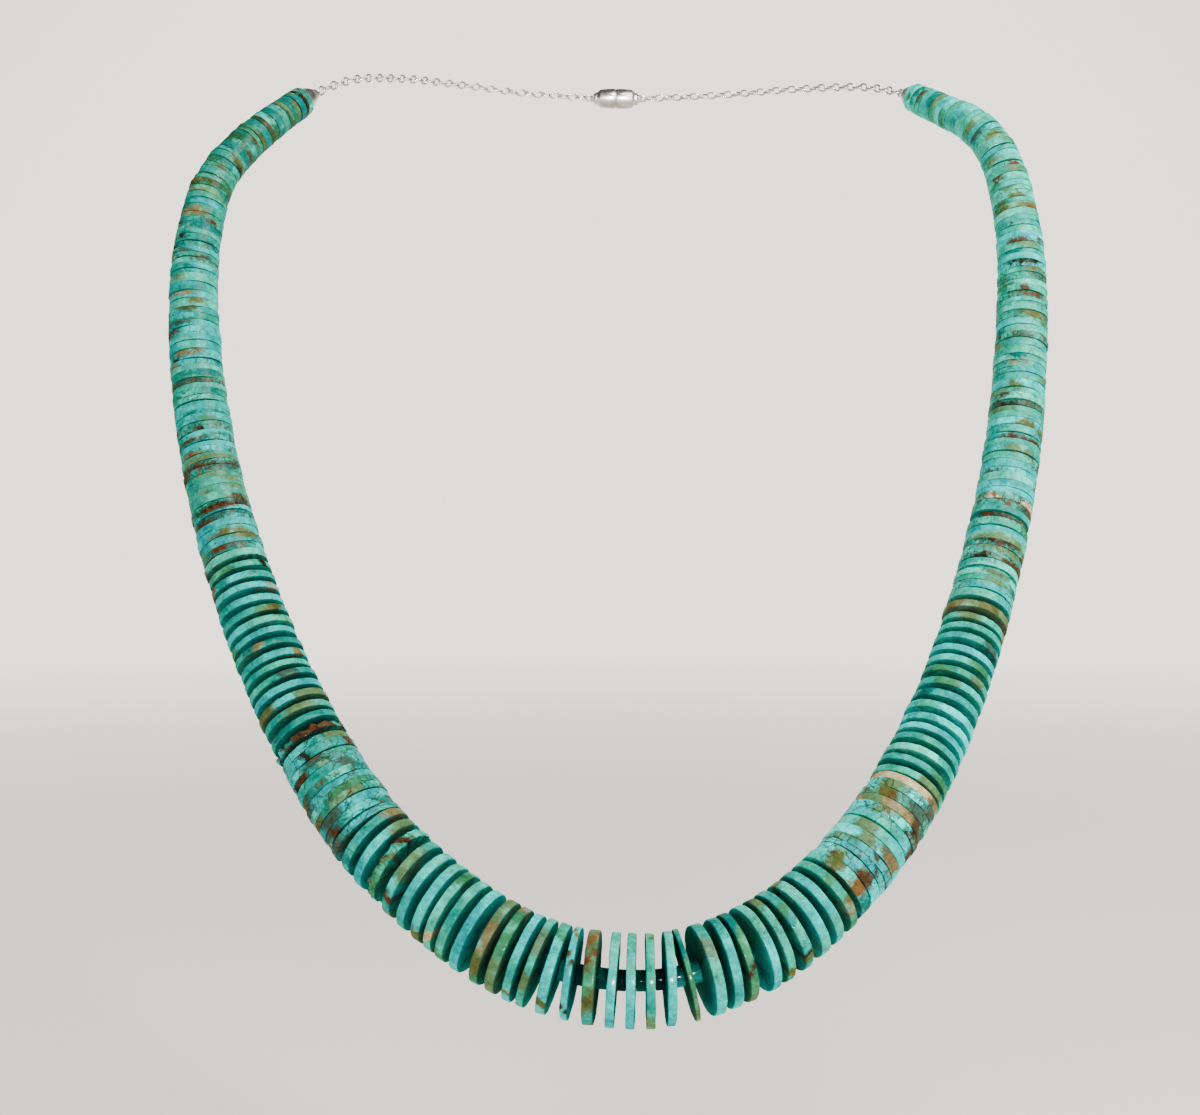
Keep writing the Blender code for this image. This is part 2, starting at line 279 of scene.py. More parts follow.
def turquoise():
    """Stone whose two tints, patch, veins and grain come from each disc's attributes, with painted shade on
    the flat faces.
    """
    finish, place = new_finish("turquoise", 0.3)
    shader = place.tree.nodes["Principled BSDF"]
    shader.inputs["Specular IOR Level"].default_value = 0.0
    shader.inputs["Coat Roughness"].default_value = 0.16

    def attribute(name, output):
        return place.node("ShaderNodeAttribute", {"attribute_name": name}, None, output)

    grain = place.node("ShaderNodeVectorMath", {"operation": "ADD"}, {0: place, 1: attribute("grain", 1)})
    clouds = grain.noise(330.0, 4.0, 0.6)
    mottle = grain.noise(1700.0, 5.0, 0.68)
    specks = grain.noise(5200.0, 2.0, 0.6)
    wander = grain.noise(1250.0, 6.0, 0.75, 0.6)
    spread = attribute("patch", 2) + (wander - 0.5) * 2.5
    patch = spread.step(0.32, 0.78)
    base = patch.tinted(attribute("main", 0), attribute("second", 0))
    base = (clouds.step(0.54, 0.70) * 0.30).tinted(base, CLOUD)
    base = base.scaled(0.96 + (clouds - 0.5) * 2.0 + (mottle - 0.5) * 1.7)
    outline = spread.step(0.20, 0.40) * (1.0 - spread.step(0.44, 0.72)) * attribute("veins", 2)
    base = outline.tinted(base, PATCH_OUTLINE)
    bend = grain.noise(700.0, 3.0) * 1.6 * MM
    bent = place.node("ShaderNodeVectorMath", {"operation": "ADD"}, {0: grain, 1: bend})
    cells = {"feature": "DISTANCE_TO_EDGE"}
    cracks = bent.node("ShaderNodeTexVoronoi", cells, {"Vector": bent, "Scale": 480.0})
    shown = (grain.noise(330.0, 3.0) + attribute("veins", 2)).step(0.80, 1.00)
    veins = (1.0 - cracks.step(0.0, 0.05)) * shown
    base = (veins * 0.8).tinted(base, VEIN)
    stain = (grain.noise(620.0, 5.0, 0.72) + attribute("veins", 2) * 0.3).step(0.72, 0.80) * 0.85
    base = stain.tinted(base, IRON_STAIN)
    pits = specks.step(0.64, 0.72)
    base = (pits * 0.45).tinted(base, PIT)
    across = attribute("across", 2)
    edge = across.math("ABSOLUTE", across) + (mottle - 0.5) * 1.3
    grime = edge.step(0.84, 1.04) * clouds.step(0.40, 0.56) * attribute("seam", 2)
    base = grime.tinted(base, SEAM_DIRT)
    # Painted shade: the flat faces, where shade falls between two discs, are tinted dark teal and lose the
    # coat.
    face = attribute("face", 2)
    base = (face * 0.68).tinted(base, PAINTED_FACE_SHADE)
    base.into("Base Color")
    ((1.0 - face) * (0.14 - grime * 0.11 - stain * 0.05 - patch * 0.06)).into("Coat Weight")
    polish = 0.24 + mottle.step(0.4, 0.7) * 0.16 + veins * 0.3 + pits * 0.3
    (polish + stain * 0.15 + grime * 0.3).into("Roughness")
    height = clouds * 0.5 + mottle * 0.22 - veins * 0.6 - pits * 0.25 - stain * 0.2 - grime * 0.5
    bump = {"Strength": 0.45, "Distance": 0.12 * MM, "Height": height}
    place.node("ShaderNodeBump", None, bump).into("Normal")
    return finish


turquoise_finish = turquoise()
SHARP = math.radians(40.0)  # edges sharper than this stay crisp


def modelled_disc(sides, radius, thickness, edge, edge_cuts, bore=0.0, rings=0):
    """A disc about the origin with rounded rims. With a bore it is drilled, its faces inset in rings."""
    bpy.ops.object.select_all(action="DESELECT")
    bpy.ops.mesh.primitive_cylinder_add(vertices=sides, radius=radius, depth=thickness)
    disc = bpy.context.object
    bpy.ops.object.mode_set(mode="EDIT")
    bpy.ops.mesh.select_mode(type="EDGE")
    bpy.ops.mesh.select_all(action="DESELECT")
    cage = bmesh.from_edit_mesh(disc.data)
    for line in cage.edges:
        line.select_set(abs(line.verts[0].co.z - line.verts[1].co.z) < thickness / 10)
    bmesh.update_edit_mesh(disc.data)
    bpy.ops.mesh.bevel(offset=edge, segments=edge_cuts, profile=0.55, affect="EDGES")
    bpy.ops.mesh.select_mode(type="FACE")
    bpy.ops.mesh.select_all(action="DESELECT")
    cage = bmesh.from_edit_mesh(disc.data)
    for face in cage.faces:
        face.select_set(len(face.verts) == sides)
    bmesh.update_edit_mesh(disc.data)
    if bore:
        reach = radius - edge - bore
        for _ in range(rings):
            bpy.ops.mesh.inset(thickness=reach / rings, depth=0.0)
        bpy.ops.mesh.bridge_edge_loops()
    bpy.ops.object.mode_set(mode="OBJECT")
    bpy.ops.object.shade_smooth_by_angle(angle=SHARP)
    return disc


def copy_of(master, radius, thickness):
    """A copy of a modelled disc, with its own mesh, stretched to this radius and thickness."""
    disc = bpy.data.objects.new(master.name, master.data.copy())
    bpy.context.collection.objects.link(disc)
    wide, _, thick = master.dimensions
    disc.data.transform(Matrix.Diagonal((2 * radius / wide, 2 * radius / wide, thickness / thick, 1.0)))
    return disc


FACE_FADE = 0.18 * MM  # the flat faces are rougher than the polished rims, and darker with painted shade, as shade falls between two discs
SPREAD = 0.12  # how much of the second stone is scattered outside its patches
FULL_PATCH = 1.3  # how strong a patch is at its middle
SLANT = 9.0  # degrees that a patch may lean as it crosses the rim
TONES = (0.74, 1.22)  # from the darkest disc of a stone to the lightest


def stone_and_painted_shade(mesh, main, veins, *patches, seed, seam=0.0, streaks=0.0, value=1.0, dull_and_shade=0.0):
    """Writes a disc's stone, and the painted light and shade on it, on its points. Each patch is a stone,
    its angle round the rim (0 inside, 90 front, 180 outside) and its half width, both in degrees. Streaks
    keep patches to one edge. The value lightens or darkens the main stone and carries painted light. The
    flat faces get painted shade, and the dulling takes the polish off the rim and spreads that painted shade
    over the whole bead."""
    luck = random.Random(seed)
    points = np.empty(len(mesh.vertices) * 3)
    mesh.vertices.foreach_get("co", points)
    points = points.reshape(-1, 3)
    count = len(points)
    across = points[:, 2] / np.abs(points[:, 2]).max()
    angles = np.degrees(np.arctan2(points[:, 1], points[:, 0])) + luck.uniform(-SLANT, SLANT) * across
    spokes = np.hypot(points[:, 0], points[:, 1])
    # A random tone of the stone, times the value, which carries painted light.
    shade = luck.uniform(*TONES) * value
    patch = np.full(count, SPREAD)
    second = np.tile(STONE[patches[0][0]] if patches else STONE[main], (count, 1))
    for stone, at, width in patches:
        away = np.abs((angles - at + 180.0) % 360.0 - 180.0)
        share = np.clip(1.5 - away / (width * (1.0 + streaks)), 0.0, FULL_PATCH)
        share = share * (1.0 - streaks * (1.0 - luck.choice([-1.0, 1.0]) * across) / 2)
        second[share > patch] = STONE[stone]
        patch = np.maximum(patch, share)
    grain = [luck.uniform(-1.0, 1.0) for _ in range(3)]
    opaque = np.ones((count, 1))
    columns = {
        "main": ("FLOAT_COLOR", "color", np.hstack([np.tile(STONE[main], (count, 1)) * shade, opaque])),
        "second": ("FLOAT_COLOR", "color", np.hstack([second, opaque])),
        "grain": ("FLOAT_VECTOR", "vector", np.tile(grain, count)),
        "patch": ("FLOAT", "value", patch),
        "veins": ("FLOAT", "value", np.full(count, veins)),
        # painted shade on the flat faces, as falls between two discs; the dulling spreads it over a whole
        # bead
        "face": ("FLOAT", "value", np.clip((spokes.max() - spokes) / FACE_FADE, dull_and_shade, 1.0)),
        "across": ("FLOAT", "value", across),
        "seam": ("FLOAT", "value", np.full(count, seam)),
    }
    for name, (kind, field, values) in columns.items():
        column = mesh.attributes.new(name, kind, "POINT")
        column.data.foreach_set(field, np.ascontiguousarray(values, dtype=np.float32).ravel())


wobble = bpy.data.textures.new("hand_ground", "CLOUDS")
wobble.noise_scale = 3.2 * MM
wobble.noise_depth = 2
chips = bpy.data.textures.new("chipped_edges", "CLOUDS")
chips.noise_scale = 1.1 * MM
chips.noise_depth = 2


def only(piece):
    """Makes this piece the one that is selected and active."""
    bpy.ops.object.select_all(action="DESELECT")
    piece.select_set(True)
    bpy.context.view_layer.objects.active = piece


def ground_by_hand(piece, unevenness, strength):
    """Pushes the surface in and out a little, as hand grinding leaves it."""
    push = piece.modifiers.new("grind", "DISPLACE")
    push.texture = unevenness
    push.texture_coords = "LOCAL"
    push.strength = strength
    push.mid_level = 0.6
    only(piece)
    bpy.ops.object.modifier_apply(modifier=push.name)


# Each row is a front disc from left to right: its main stone, how much matrix it has, and its patches.
FRONT_STONES = [
    ("teal", 0.30, ("tan", 20, 25), ("deep", 150, 25)),
    ("cyan", 0.25, ("moss", 20, 30), ("blue", 150, 40)),
    ("sea", 0.45, ("rust", 42, 7), ("olive", 76, 6), ("green", 120, 32)),
    ("teal", 0.20, ("moss", 58, 34), ("cyan", 101, 10), ("rust", 118, 7), ("olive", 162, 14)),
    ("cyan", 0.12, ("pale", 25, 15), ("teal", 150, 22)),
    ("cyan", 0.10, ("pale", 15, 20), ("olive", 158, 32)),
    ("pale", 0.12, ("green", 22, 22), ("beige", 124, 9), ("tan", 168, 9)),
    ("pale", 0.08, ("teal", 80, 20), ("green", 155, 26)),
    ("cyan", 0.08, ("blue", 90, 45), ("sea", 160, 16)),
    ("green", 0.15, ("moss", 20, 25), ("tan", 75, 28), ("olive", 115, 18), ("teal", 166, 12)),
    ("green", 0.15, ("tan", 8, 9), ("moss", 130, 42)),
    ("cyan", 0.10, ("teal", 110, 26), ("olive", 129, 6)),
    ("sea", 0.12, ("sage", 48, 22), ("moss", 104, 15)),
    ("cyan", 0.10, ("sea", 12, 14), ("green", 30, 6), ("olive", 126, 8), ("pale", 160, 18)),
    ("cyan", 0.22, ("tan", 14, 6), ("umber", 56, 4), ("blue", 90, 15), ("brown", 124, 5)),
    ("moss", 0.05, ("ochre", 22, 10), ("rust", 50, 5), ("green", 80, 13), ("olive", 108, 11),
     ("teal", 138, 13), ("ochre", 170, 9)),
    ("cyan", 0.05, ("pale", 30, 38), ("blue", 150, 30)),
    ("cyan", 0.10, ("sea", 15, 22), ("pale", 60, 10), ("blue", 135, 20), ("moss", 178, 11)),
    ("sea", 0.12, ("olive", 4, 8), ("teal", 100, 16), ("moss", 152, 30)),
    ("cyan", 0.05, ("pale", 25, 28), ("blue", 150, 25)),
    ("green", 0.10, ("deep", 30, 25), ("moss", 145, 38)),
    ("pale", 0.15, ("teal", 15, 20), ("sage", 48, 16), ("cyan", 140, 40)),
    ("cyan", 0.05, ("teal", 18, 24), ("moss", 176, 10)),
    ("green", 0.15, ("deep", 18, 26), ("rust", 96, 5), ("moss", 150, 22)),
    ("cyan", 0.03, ("pale", 35, 35), ("blue", 150, 20)),
    ("sea", 0.15, ("moss", 12, 22), ("pale", 85, 20), ("olive", 134, 9), ("green", 166, 18)),
    ("teal", 0.30, ("green", 50, 9), ("pale", 88, 12), ("brown", 121, 4), ("olive", 128, 7),
     ("umber", 173, 6)),
    ("pale", 0.05, ("moss", 4, 9), ("cyan", 85, 34), ("tan", 174, 8)),
    ("cyan", 0.08, ("teal", 14, 16), ("pale", 118, 18)),
    ("sea", 0.20, ("green", 62, 8), ("tan", 112, 16), ("olive", 100, 6), ("green", 152, 20)),
]
BORE_RADIUS = 0.7 * MM
FRONT_EDGE = 0.24 * MM
FRONT_FIT = 0.985  # of a solid's radius, which leaves room for the grinding
FRONT_SHARE = 0.94  # of a solid's thickness
FRONT_GRIND = 0.22 * MM
LEFT_PAINTED_LIGHT = 0.95
PAINTED_LIGHT_RISE = 0.22  # painted light: the discs get lighter from left to right, as the light falls from the right
CHIPPED_DISC = "disc_03"
CHIP_DEPTH = 0.9 * MM
front_fits = [fitted(node) for node in FRONT_DISCS]
front_master = modelled_disc(
    sides=96, radius=6.25 * MM, thickness=1.5 * MM, edge=FRONT_EDGE, edge_cuts=3, bore=BORE_RADIUS, rings=3
)
for number, (node, fit, stones) in enumerate(zip(FRONT_DISCS, front_fits, FRONT_STONES)):
    axis, middle, radius, thickness = fit
    disc = copy_of(front_master, radius * FRONT_FIT, thickness * FRONT_SHARE)
    # The value is painted light, darker on the left and lighter on the right.
    stone_and_painted_shade(disc.data, *stones, seed=number, value=LEFT_PAINTED_LIGHT + PAINTED_LIGHT_RISE * number / len(FRONT_DISCS))
    disc.data.transform(square_to(axis, middle))
    ground_by_hand(disc, wobble, FRONT_GRIND)
    if node == CHIPPED_DISC:
        ground_by_hand(disc, chips, CHIP_DEPTH)
    disc.name = f"front_{node}"
    disc.data.name = disc.name
    disc.data.materials.append(turquoise_finish)
    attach(disc, "root")
    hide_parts(node)
bpy.data.objects.remove(front_master)

# Spacer beads
# A short drilled bead of the same stone sits on the thread between two front discs and keeps them
# apart. Most are unpolished and darkened all over with painted shade, as falls between two discs, and
# every other one of these is of a dark stone. Three near the middle are light.
SPACER_RADIUS = 1.4 * MM
SPACER_EDGE = 0.12 * MM
SPACER_FIT = 0.98  # of the room between two discs
# How much painted shade and loss of polish a spacer takes all over.
SPACER_DULL_AND_SHADE = 0.7
LIGHT_SPACERS = (19, 20, 23)  # counted from the left


def joined(pieces, name):
    """Makes one object of the pieces, with its place in its mesh."""
    bpy.ops.object.select_all(action="DESELECT")
    for piece in pieces:
        piece.select_set(True)
    bpy.context.view_layer.objects.active = pieces[0]
    bpy.ops.object.join()
    whole = bpy.context.object
    whole.name = name
    whole.data.name = name
    whole.matrix_world = Matrix.Identity(4)
    return whole


spacer_master = modelled_disc(
    sides=28, radius=SPACER_RADIUS, thickness=MM, edge=SPACER_EDGE, edge_cuts=2, bore=BORE_RADIUS, rings=1
)
spacers = []
for number, (here, there) in enumerate(zip(front_fits, front_fits[1:])):
    gap = there[1] - here[1]
    room = gap.length - FRONT_SHARE * (here[3] + there[3]) / 2
    start = here[1] + gap.normalized() * here[3] * FRONT_SHARE / 2
    spacer = copy_of(spacer_master, SPACER_RADIUS, room * SPACER_FIT)
    if number in LIGHT_SPACERS:
        stone_and_painted_shade(spacer.data, "cyan", veins=0.1, seed=100 + number)
    else:
        # Painted shade over the whole bead, on dark stone for every other one.
        stone = ("night", "teal")[number % 2]
        stone_and_painted_shade(spacer.data, stone, veins=0.1, seed=100 + number, dull_and_shade=SPACER_DULL_AND_SHADE)
    spacer.data.transform(square_to(gap.normalized(), start + gap.normalized() * room / 2))
    spacers.append(spacer)
bpy.data.objects.remove(spacer_master)
spacer_beads = joined(spacers, "spacer_beads")
spacer_beads.data.materials.append(turquoise_finish)
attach(spacer_beads, "root")
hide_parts("thread_front")

# Strings of small discs
# Up each side the discs get thinner and smaller: a dozen tight ones, sixteen a little apart, and then
# eighty or ninety tight ones up to the neck. They are strung like the front discs, and each has its
# own stone, size and tilt. Each string is one piece here.
COMMON_STONES = ["cyan", "cyan", "teal", "teal", "sea", "sea", "pale", "pale"]
SECOND_STONES = ["cyan", "teal", "sea", "pale", "deep", "blue", "green", "moss", "grey"]
# Only the discs that stand out are listed, by their place from the front end. The rest are lucky.
BROKEN_DISC = ("teal", 0.90, ("umber", 84, 14), ("brown", 45, 16), ("rust", 62, 9), ("cyan", 142, 20))
LEFT_MARKS = {
    1: ("teal", 0.60, ("rust", 95, 14), ("green", 150, 20)),
    2: ("cyan", 0.30, ("olive", 35, 20), ("olive", 155, 12)),
    3: ("cyan", 0.20, ("olive", 60, 28), ("blue", 130, 20)),
    4: ("cyan", 0.05, ("blue", 140, 30)),
    5: ("teal", 0.60, ("rust", 115, 20), ("cyan", 40, 20), ("brown", 166, 9)),
    6: ("cyan", 0.50, ("umber", 105, 18), ("rust", 66, 12), ("brown", 170, 9)),
    7: ("sea", 0.80, ("brown", 75, 26), ("umber", 20, 10)),
    8: ("pale", 0.20, ("umber", 22, 12)),
    9: ("pale", 0.10, ("moss", 28, 14), ("moss", 100, 8)),
    10: ("pale", 0.05, ("moss", 30, 16)),
    11: ("sea", 0.20, ("moss", 70, 25)),
    12: ("teal", 0.70, ("umber", 145, 16), ("grey", 60, 20)),
    13: ("teal", 0.60, ("umber", 115, 36), ("umber", 18, 10)),
    14: ("pale", 0.20, ("moss", 80, 50)),
    15: ("cyan", 0.50, ("tan", 112, 18)),
    16: ("cyan", 0.10, ("blue", 115, 28)),
    17: ("teal", 0.60, ("umber", 105, 18), ("grey", 150, 14)),
    19: ("pale", 0.60, ("brown", 82, 5)),
    22: ("teal", 0.10, ("blue", 110, 26)),
    25: ("pale", 0.10, ("teal", 150, 20)),
    26: ("teal", 0.80, ("grey", 100, 25)),
    29: ("cyan", 0.40, ("tan", 128, 10), ("deep", 20, 14)),
    30: ("cyan", 0.40, ("tan", 98, 22), ("brown", 120, 5)),
    33: ("cyan", 0.50, ("umber", 145, 20)),
    34: ("cyan", 0.20, ("grey", 110, 25)),
    36: ("cyan", 0.20, ("olive", 88, 16)),
    37: ("pale", 0.20, ("olive", 66, 14)),
    38: ("cyan", 0.20, ("tan", 100, 24)),
    39: ("teal", 0.10, ("blue", 120, 24)),
    42: ("teal", 0.10, ("blue", 60, 30)),
    44: ("sea", 0.40, ("umber", 50, 10), ("tan", 150, 16)),
    46: ("teal", 0.60, ("brown", 142, 10)),
    47: ("teal", 0.50, ("brown", 122, 12)),
    50: ("teal", 0.40, ("umber", 145, 12), ("umber", 40, 14)),
    51: ("sea", 0.20, ("tan", 112, 34)),
    52: ("sea", 0.10, ("tan", 100, 20)),
    53: ("teal", 0.10, ("blue", 80, 30)),
    55: ("sea", 0.10, ("moss", 90, 40)),
    56: ("green", 0.50, ("olive", 120, 34), ("brown", 160, 14)),
    57: ("green", 0.20, ("teal", 100, 40)),
    59: ("sea", 0.30, ("olive", 72, 24)),
    60: ("green", 0.30, ("deep", 50, 40)),
    61: ("sea", 0.30, ("olive", 55, 16), ("brown", 22, 14)),
    62: ("green", 0.20, ("teal", 120, 30)),
    63: ("teal", 0.30, ("deep", 40, 40)),
    64: ("green", 0.30, ("umber", 35, 16)),
    65: ("green", 0.20, ("deep", 30, 30)),
    66: ("sea", 0.20, ("umber", 60, 16)),
    67: ("teal", 0.20, ("green", 90, 40)),
    68: ("green", 0.20, ("olive", 30, 20)),
    69: ("teal", 0.20, ("deep", 60, 40)),
    70: ("green", 0.30, ("umber", 80, 30)),
    71: ("green", 0.20, ("teal", 120, 40)),
    72: ("teal", 0.30, ("deep", 40, 30)),
    74: ("green", 0.30, ("moss", 90, 40)),
    75: ("green", 0.20, ("deep", 90, 40)),
    76: ("teal", 0.20, ("olive", 60, 25)),
    78: ("umber", 0.40, ("brown", 90, 40)),
}
RIGHT_MARKS = {
    2: ("sea", 0.30, ("moss", 95, 16), ("deep", 155, 20)),
    3: ("pale", 0.30, ("moss", 90, 20)),
    6: ("pale", 0.60, ("umber", 135, 34), ("brown", 62, 14)),
    8: ("teal", 0.80, ("brown", 82, 22)),
    10: ("blue", 0.20, ("cyan", 120, 30)),
    12: ("teal", 0.80, ("brown", 62, 26), ("umber", 118, 34)),
    14: ("teal", 0.80, ("grey", 110, 20)),
    15: ("pale", 0.70, ("beige", 142, 26), ("beige", 45, 12)),
    16: ("cyan", 0.10, ("blue", 120, 30)),
    17: ("cyan", 0.10, ("blue", 100, 35)),
    19: ("cyan", 0.50, ("umber", 42, 12)),
    21: ("sea", 0.30, ("umber", 142, 16)),
    22: ("teal", 0.30, ("moss", 88, 22)),
    24: ("cyan", 0.40, ("umber", 74, 16), ("umber", 124, 16)),
    26: ("cyan", 0.20, ("olive", 102, 18), ("moss", 150, 16)),
    29: ("teal", 0.80, ("brown", 48, 18), ("grey", 100, 16)),
    30: ("pale", 0.40, ("umber", 32, 12)),
    32: ("cyan", 0.30, ("olive", 62, 8)),
    35: ("teal", 0.40, ("tan", 60, 14)),
    39: ("sea", 0.70, ("grey", 100, 30)),
    42: ("sea", 0.40, ("olive", 112, 32)),
    45: ("sea", 0.50, ("umber", 95, 30)),
    46: ("sea", 0.40, ("umber", 80, 10)),
    48: ("sea", 0.50, ("grey", 130, 20)),
    50: ("cyan", 0.30, ("brown", 85, 30)),
    51: ("cyan", 0.05, ("blue", 130, 30)),
    52: ("teal", 0.40, ("deep", 60, 14)),
    53: ("sea", 0.30, ("moss", 100, 20)),
    54: ("cyan", 0.40, ("umber", 72, 18), ("umber", 132, 12)),
    55: ("cyan", 0.05, ("blue", 105, 30)),
    58: ("teal", 0.20, ("deep", 150, 14)),
    60: ("sea", 0.20, ("olive", 70, 50), ("ochre", 125, 20)),
    61: ("sea", 0.20, ("olive", 40, 16)),
    62: ("pale", 0.20, ("olive", 82, 14)),
    65: ("sea", 0.20, ("umber", 42, 14)),
    66: ("sea", 0.20, ("moss", 100, 14)),
    67: ("pale", 0.10, ("rust", 105, 22)),
    68: ("sea", 0.30, ("tan", 45, 14)),
    72: ("pale", 0.20, ("moss", 90, 30)),
    73: ("sea", 0.20, ("olive", 98, 16)),
    76: ("sea", 0.20, ("moss", 60, 30)),
    79: ("teal", 0.10, ("blue", 90, 40)),
    83: ("green", 0.20, ("moss", 90, 30)),
    86: ("sea", 0.30, ("umber", 80, 24)),
}


def on_string(distance):
    """Places a bead at this distance from the lowest disc."""
    axis = (point_at(distance + MM) - point_at(distance - MM)).normalized()
    return square_to(axis, point_at(distance))


def lucky_stones(count, marks, seed):
    """Rows of stones for a long string: the marked ones, and lucky ones between them."""
    luck = random.Random(seed)
    rows = []
    for number in range(count):
        main = luck.choice(COMMON_STONES)
        second = luck.choice([stone for stone in SECOND_STONES if stone != main])
        lucky = (main, luck.uniform(0.0, 0.45), (second, luck.uniform(0, 180), luck.choice([12, 25, 45])))
        rows.append(marks.get(number, lucky))
    return rows


LOOSE_FIT = 0.07 * MM  # how far a disc may sit off the thread
LEAN = 2.0  # degrees that a disc may lean each way
RIM_FIT = (0.955, 0.995)  # of the solid's radius
CLOSE_FIT = (0.97, 1.0)  # of the room for a disc
STRING_GRIND = 0.20 * MM
BREAK_DEPTH = 1.3 * MM


def string_of_discs(name, stones, master, uneven, grime, value, seed, share=1.0, neck_shade=0.0):
    """Discs between the two ends of the solid of the same name, nearest the front first. A disc takes
    this share of its pitch, and where that is under 1 a spacer of dark stone, darkened further with
    painted shade, shows between two discs. Value and neck_shade carry painted light and shade."""
    along, out = along_and_out(name)
    near, far = (along.min(), along.max()) if along.mean() > 0 else (along.max(), along.min())
    luck = random.Random(seed)
    steps = np.array([luck.uniform(1.0 - uneven, 1.0 + uneven) for _ in stones])
    pitches = steps * (far - near) / (steps.sum() - (1.0 - share) * steps[-1])
    starts = near + np.concatenate([[0.0], np.cumsum(pitches)[:-1]])
    discs = []
    for number, (row, start, pitch) in enumerate(zip(stones, starts, pitches)):
        middle = start + pitch * share / 2
        close = np.abs(along - middle) < abs(far - near) / len(stones) * 0.75
        radius = out[close].max() * luck.uniform(*RIM_FIT)
        thickness = abs(pitch) * share * luck.uniform(*CLOSE_FIT)
        disc = copy_of(master, radius, thickness)
        disc.data.transform(Matrix.Rotation(luck.uniform(0, math.tau), 4, "Z"))
        seam = luck.random() ** 1.5 * grime
        # Painted shade darkens the discs towards the neck end, and value carries painted light.
        lit_tone = value * (1.0 - neck_shade * (number / len(stones)) ** 4)
        stone_and_painted_shade(disc.data, *row, seed=seed * 1000 + number, seam=seam, streaks=grime ** 2, value=lit_tone)
        aside = [luck.uniform(-LOOSE_FIT, LOOSE_FIT) for _ in range(2)]
        slip = Matrix.Translation((*aside, 0.0))
        tip = Matrix.Rotation(math.radians(luck.uniform(-LEAN, LEAN)), 4, "X")
        nod = Matrix.Rotation(math.radians(luck.uniform(-LEAN, LEAN)), 4, "Y")
        disc.data.transform(on_string(middle) @ slip @ tip @ nod)
        if row is BROKEN_DISC:
            ground_by_hand(disc, chips, BREAK_DEPTH)
        discs.append(disc)
        if share < 1.0:
            spacer = copy_of(small_master, SPACER_RADIUS, abs(pitch))
            # Painted shade over the whole spacer, on dark stone.
            stone_and_painted_shade(spacer.data, "night", veins=0.1, seed=seed * 1000 + 500 + number, dull_and_shade=SPACER_DULL_AND_SHADE)
            spacer.data.transform(on_string(middle))
            discs.append(spacer)
    string = joined(discs, f"discs_{name}")
    ground_by_hand(string, chips, STRING_GRIND)
    string.data.materials.append(turquoise_finish)
    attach(string, "root")
    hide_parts(name)


LEFT_BLOCK = [
    ("teal", 0.50, ("grey", 130, 18), ("blue", 70, 20)),
    ("teal", 0.50, ("rust", 150, 9), ("umber", 120, 9), ("cyan", 60, 25)),
    ("cyan", 0.45, ("grey", 110, 22), ("blue", 60, 20)),
    ("sea", 0.50, ("olive", 140, 18), ("moss", 70, 26)),
    ("sea", 0.55, ("green", 60, 30), ("cyan", 120, 20)),
    ("cyan", 0.50, ("grey", 150, 26), ("blue", 70, 25)),
    ("teal", 0.60, ("pale", 60, 24), ("olive", 150, 18)),
    ("cyan", 0.45, ("teal", 90, 36), ("grey", 40, 14)),
    ("teal", 0.50, ("olive", 72, 9), ("rust", 118, 12), ("brown", 138, 9)),
    ("sea", 0.60, ("grey", 84, 18), ("cyan", 130, 30)),
    ("cyan", 0.45, ("teal", 60, 30), ("brown", 92, 6), ("umber", 14, 9)),
    ("teal", 0.40, ("moss", 26, 22), ("cyan", 110, 30)),
]
RIGHT_BLOCK = [
    ("teal", 0.30, ("olive", 52, 14), ("ochre", 100, 13), ("deep", 145, 30)),
    ("cyan", 0.50, ("olive", 46, 12), ("umber", 96, 16), ("blue", 70, 12)),
    ("cyan", 0.60, ("blue", 80, 35), ("umber", 104, 6)),
    ("cyan", 0.60, ("blue", 90, 40), ("moss", 30, 16)),
    ("cyan", 0.30, ("moss", 64, 14), ("tan", 114, 24)),
    ("pale", 0.30, ("moss", 50, 18), ("cyan", 120, 30)),
    ("cyan", 0.45, ("sea", 70, 24), ("umber", 142, 10)),
    ("cyan", 0.60, ("moss", 60, 12), ("brown", 112, 5), ("umber", 130, 14), ("grey", 155, 12)),
    ("tan", 0.30, ("moss", 30, 16), ("umber", 118, 12), ("grey", 142, 20)),
    ("sea", 0.60, ("olive", 50, 16), ("grey", 110, 25)),
    ("cyan", 0.60, ("moss", 50, 22), ("grey", 130, 18)),
    ("bone", 0.05, ("tan", 130, 20)),
]
LEFT_MID = [
    BROKEN_DISC,
    ("teal", 0.15, ("deep", 110, 20)),
    ("sea", 0.25, ("moss", 60, 30), ("teal", 130, 25)),
    ("moss", 0.25, ("olive", 130, 25), ("cyan", 80, 16)),
    ("blue", 0.10, ("cyan", 80, 30)),
    ("teal", 0.20, ("grey", 60, 16), ("sea", 120, 30)),
    ("sea", 0.20, ("teal", 120, 30)),
    ("cyan", 0.15, ("tan", 22, 12), ("teal", 120, 30)),
    ("teal", 0.20, ("tan", 85, 9), ("sea", 140, 20)),
    ("cyan", 0.15, ("green", 150, 20)),
    ("pale", 0.10, ("green", 28, 16), ("cyan", 120, 30)),
    ("teal", 0.25, ("olive", 35, 16), ("green", 60, 10)),
    ("cyan", 0.10, ("teal", 130, 30)),
    ("cyan", 0.25, ("tan", 20, 12), ("ochre", 160, 10)),
    ("teal", 0.20, ("ochre", 150, 16), ("cyan", 80, 20)),
    ("sea", 0.25, ("brown", 22, 7), ("green", 110, 30)),
]
